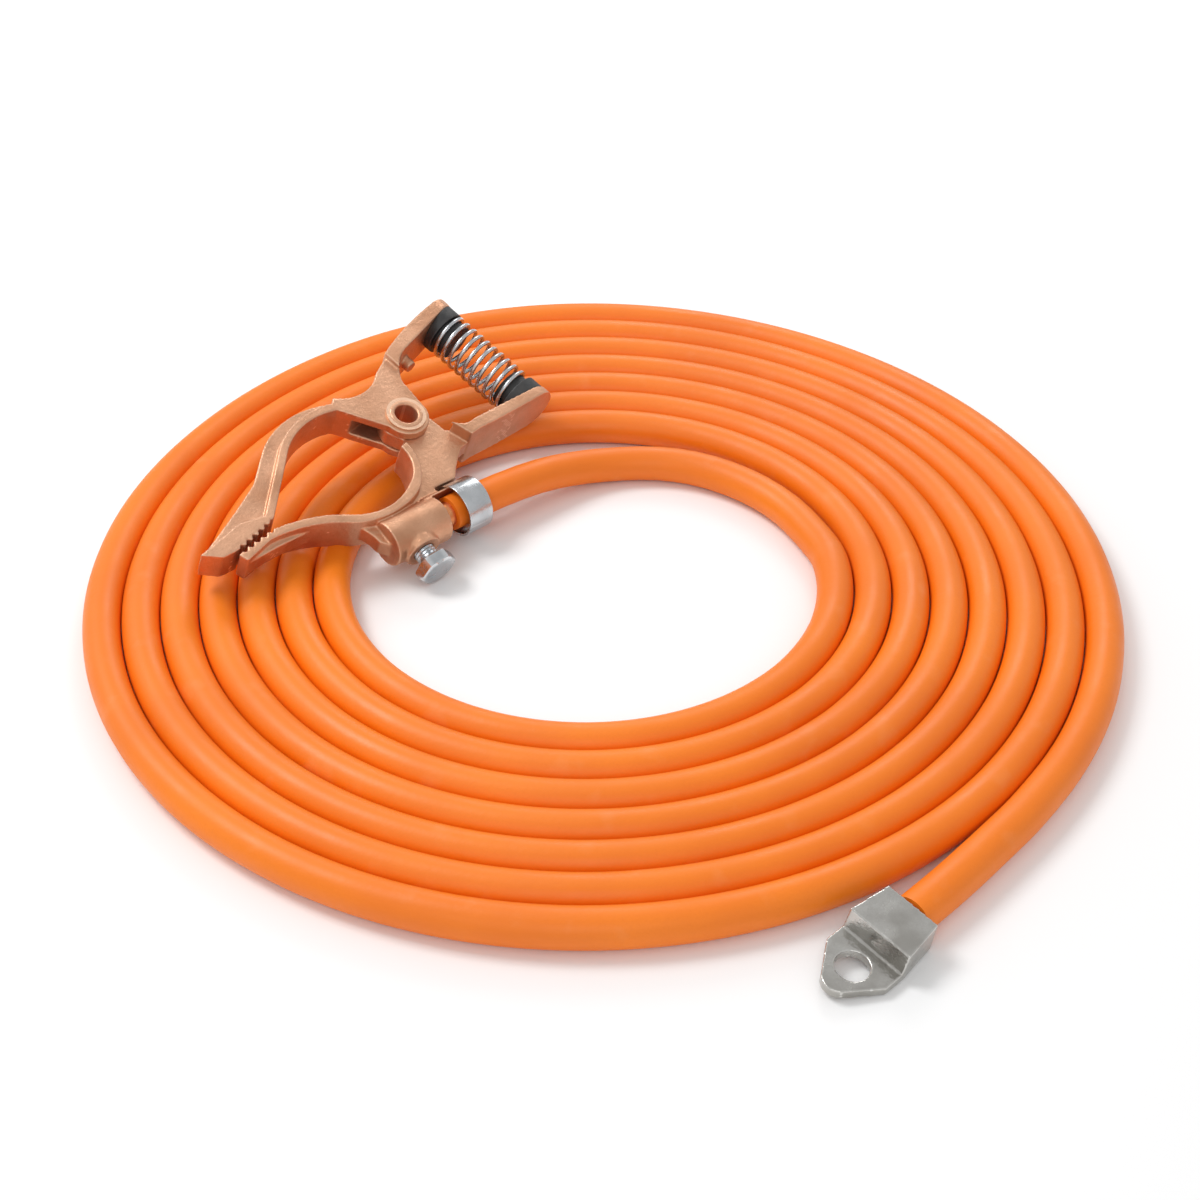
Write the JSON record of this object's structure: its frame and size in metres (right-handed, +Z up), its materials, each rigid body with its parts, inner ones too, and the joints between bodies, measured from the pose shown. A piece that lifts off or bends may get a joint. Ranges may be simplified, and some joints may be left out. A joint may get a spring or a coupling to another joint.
{
  "type": "welding ground clamp",
  "caption": "Spring-loaded cast ground clamp with a bolted cable socket and ring, on a long coiled orange welding cable that ends in a ring lug.",
  "frame": {"origin": "middle of the clamp's own footprint on the floor, the cable left out", "axes": "+Z up; +X along the clamp from its jaws to its levers, horizontal; +Y to the moving lever's side; the clamp lies on its side, rolled 23 degrees"},
  "size_m": [0.4463, 0.4558, 0.0664],
  "materials": {
    "cast_copper_alloy": "tumbled, fine sand-cast grain",
    "zinc_plated_steel": "bright zinc",
    "black_fibre": "matt, fine turned lines",
    "copper_strand": "bare strands",
    "orange_jacket": "smooth satin",
    "tinned_copper": "bright tin"
  },
  "bodies": {
    "fixed_side": {"fixed_jaw": "cast_copper_alloy", "pivot_rivet": "cast_copper_alloy", "washer_near": "cast_copper_alloy", "washer_far": "cast_copper_alloy", "spring": "zinc_plated_steel", "fixed_insulator": "black_fibre", "cable_ring": "zinc_plated_steel", "cable_bolt": "zinc_plated_steel", "conductor_clamp_end": "copper_strand", "cable_lead": "orange_jacket", "cable_coil": "orange_jacket", "cable_tail": "orange_jacket", "cable_lug": "tinned_copper", "conductor_lug_end": "copper_strand"},
    "moving_side": {"moving_jaw": "cast_copper_alloy", "moving_insulator": "black_fibre"}
  },
  "joints": [
    {"name": "jaw_hinge", "type": "hinge", "parent": "fixed_side", "child": "moving_side", "pos_m": [0.02729, 0.0123, 0.03697], "axis": [0.0545, 0.3939, -0.9175], "range_deg": [0, 25], "deforming": ["spring"]}
  ]
}
